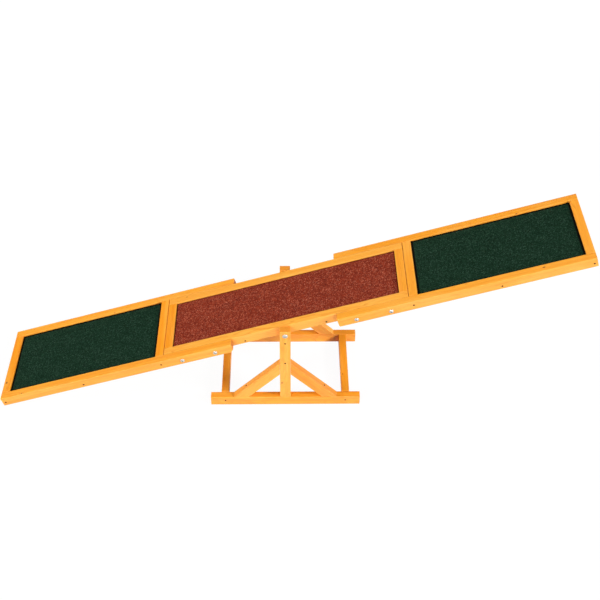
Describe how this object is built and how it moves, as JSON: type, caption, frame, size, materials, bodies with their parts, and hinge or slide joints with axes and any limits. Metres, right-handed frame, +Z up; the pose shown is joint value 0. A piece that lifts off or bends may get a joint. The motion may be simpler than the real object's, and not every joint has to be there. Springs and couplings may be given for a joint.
{
  "type": "dog agility seesaw",
  "caption": "Low timber dog agility seesaw: a long board of bolted panels with grit sheets tilts on bolts between the posts of a braced base.",
  "frame": {"origin": "on the ground, midway between the two posts", "axes": "+Z up, +X along the board towards the end that is up at rest, +Y across the board from the front side to the back side"},
  "size_m": [1.725, 0.3072, 0.5695],
  "materials": {
    "stained_timber": "planed softwood with a honey orange stain, satin",
    "plywood": "thin plywood, sanded",
    "green_grit": "mineral grit on a bituminous sheet, dark green, rough",
    "red_grit": "mineral grit on a bituminous sheet, brick red, rough",
    "zinc_plated_steel": "bright zinc plate"
  },
  "bodies": {
    "base": {"back_bottom_rail": "stained_timber", "back_left_brace": "stained_timber", "back_pivot_bolt": "zinc_plated_steel", "back_pivot_nut": "zinc_plated_steel", "back_pivot_washer": "zinc_plated_steel", "back_post": "stained_timber", "back_right_brace": "stained_timber", "front_bottom_rail": "stained_timber", "front_left_brace": "stained_timber", "front_pivot_bolt": "zinc_plated_steel", "front_pivot_nut": "zinc_plated_steel", "front_pivot_washer": "zinc_plated_steel", "front_post": "stained_timber", "front_right_brace": "stained_timber", "left_crossbar": "stained_timber", "post_spreader": "stained_timber", "right_crossbar": "stained_timber"},
    "board": {"left_back_inner_bolt": "zinc_plated_steel", "left_back_inner_nut": "zinc_plated_steel", "left_back_outer_bolt": "zinc_plated_steel", "left_back_outer_nut": "zinc_plated_steel", "left_back_rail": "stained_timber", "left_batten": "stained_timber", "left_cross_rail": "stained_timber", "left_deck": "plywood", "left_end_rail": "stained_timber", "left_front_inner_bolt": "zinc_plated_steel", "left_front_inner_nut": "zinc_plated_steel", "left_front_outer_bolt": "zinc_plated_steel", "left_front_outer_nut": "zinc_plated_steel", "left_front_rail": "stained_timber", "left_grit_sheet": "green_grit", "middle_back_rail": "stained_timber", "middle_deck": "plywood", "middle_front_rail": "stained_timber", "middle_grit_sheet": "red_grit", "middle_left_batten": "stained_timber", "middle_left_cross_rail": "stained_timber", "middle_right_batten": "stained_timber", "middle_right_cross_rail": "stained_timber", "right_back_inner_bolt": "zinc_plated_steel", "right_back_inner_nut": "zinc_plated_steel", "right_back_outer_bolt": "zinc_plated_steel", "right_back_outer_nut": "zinc_plated_steel", "right_back_rail": "stained_timber", "right_batten": "stained_timber", "right_cross_rail": "stained_timber", "right_deck": "plywood", "right_end_rail": "stained_timber", "right_front_inner_bolt": "zinc_plated_steel", "right_front_inner_nut": "zinc_plated_steel", "right_front_outer_bolt": "zinc_plated_steel", "right_front_outer_nut": "zinc_plated_steel", "right_front_rail": "stained_timber", "right_grit_sheet": "green_grit"}
  },
  "joints": [
    {"name": "board_tilt", "type": "hinge", "parent": "base", "child": "board", "pos_m": [0, 0, 0.28303], "axis": [0, 1, 0], "range_deg": [0, 35]}
  ]
}
